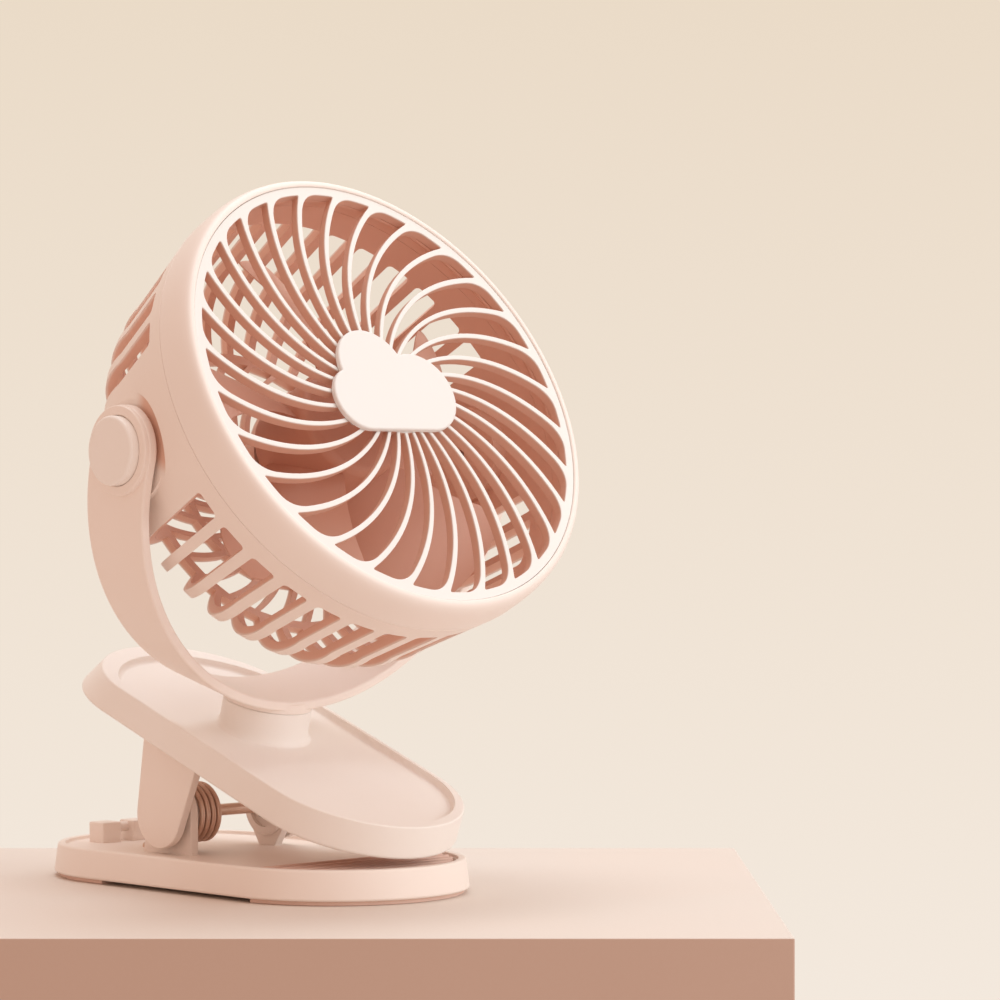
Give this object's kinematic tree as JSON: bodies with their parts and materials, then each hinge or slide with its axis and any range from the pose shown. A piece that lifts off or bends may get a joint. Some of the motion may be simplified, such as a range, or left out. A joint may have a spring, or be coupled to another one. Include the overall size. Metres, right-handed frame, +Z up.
{
  "type": "clip fan",
  "caption": "Small fan with a swirl grille on a round head that tilts in a turning yoke, on a sprung clip base that stands free or clamps to an edge.",
  "frame": {"origin": "on the surface it stands on, under the middle of its bounding box", "axes": "+X the way the fan faces and the clip opens, +Y to the right of someone looking at the fan's face, +Z up"},
  "size_m": [0.1636, 0.149, 0.2049],
  "materials": {
    "shell_pale": "satin moulded, pale pink",
    "shell_pink": "satin moulded, pink",
    "cage_pink": "satin moulded, deeper pink",
    "grip_rubber": "matte soft rubber",
    "steel": "plated steel",
    "dark_steel": "dark zinc",
    "nylon": "natural nylon",
    "board_green": "lacquered board",
    "cell_foil": "foil pouch",
    "lens_clear": "clear lens"
  },
  "bodies": {
    "base": {"lower_jaw": "shell_pink", "lower_grip_pad": "grip_rubber", "front_foot_pad": "grip_rubber", "rear_foot_pad": "grip_rubber", "hinge_pin": "steel", "pin_ring_left": "dark_steel", "pin_ring_right": "dark_steel", "clip_spring": "steel"},
    "upper_jaw": {"upper_jaw_tray": "shell_pale", "upper_jaw_cover": "shell_pink", "upper_grip_pad": "grip_rubber", "battery_cell": "cell_foil", "circuit_board": "board_green", "usb_socket": "steel", "indicator_lens": "lens_clear", "cover_screw_1": "steel", "cover_screw_2": "steel", "cover_screw_3": "steel", "cover_screw_4": "steel", "neck_washer": "nylon", "neck_screw": "steel"},
    "button": {"power_button": "shell_pale"},
    "yoke": {"yoke": "shell_pink", "pivot_cap_left": "shell_pale", "pivot_cap_right": "shell_pale", "pivot_washer_left": "nylon", "pivot_washer_right": "nylon"},
    "head": {"front_grille": "shell_pale", "grille_plaque": "shell_pale", "front_cowl": "shell_pink", "rear_cage": "cage_pink", "motor_can": "steel", "motor_screw_1": "dark_steel", "motor_screw_2": "dark_steel", "pivot_screw_left": "steel", "pivot_screw_right": "steel"},
    "rotor": {"fan_rotor": "shell_pale", "motor_shaft": "steel"}
  },
  "joints": [
    {"name": "clip_hinge", "type": "hinge", "parent": "base", "child": "upper_jaw", "pos_m": [-0.02418, 0, 0.0205], "axis": [0, -1, 0], "range_deg": [0, 40], "stiffness_Nm_per_rad": 0.35, "springref_deg": -68.75, "deforming": ["clip_spring"]},
    {"name": "power_button_press", "type": "slide", "parent": "upper_jaw", "child": "button", "axis": [0, -1, 0], "range_m": [0, 0.0006], "stiffness_N_per_m": 800},
    {"name": "neck_swivel", "type": "hinge", "parent": "upper_jaw", "child": "yoke", "pos_m": [0.01612, 0, 0.1265], "axis": [0.2605, 0, 0.9655], "range_deg": [-170, 170]},
    {"name": "head_tilt", "type": "hinge", "parent": "yoke", "child": "head", "pos_m": [0.01612, 0, 0.1265], "axis": [0, -1, 0], "range_deg": [-36, 130]},
    {"name": "rotor_spin", "type": "hinge", "parent": "head", "child": "rotor", "pos_m": [0.01612, 0, 0.1265], "axis": [0.8842, 0, 0.4672], "continuous": true}
  ]
}
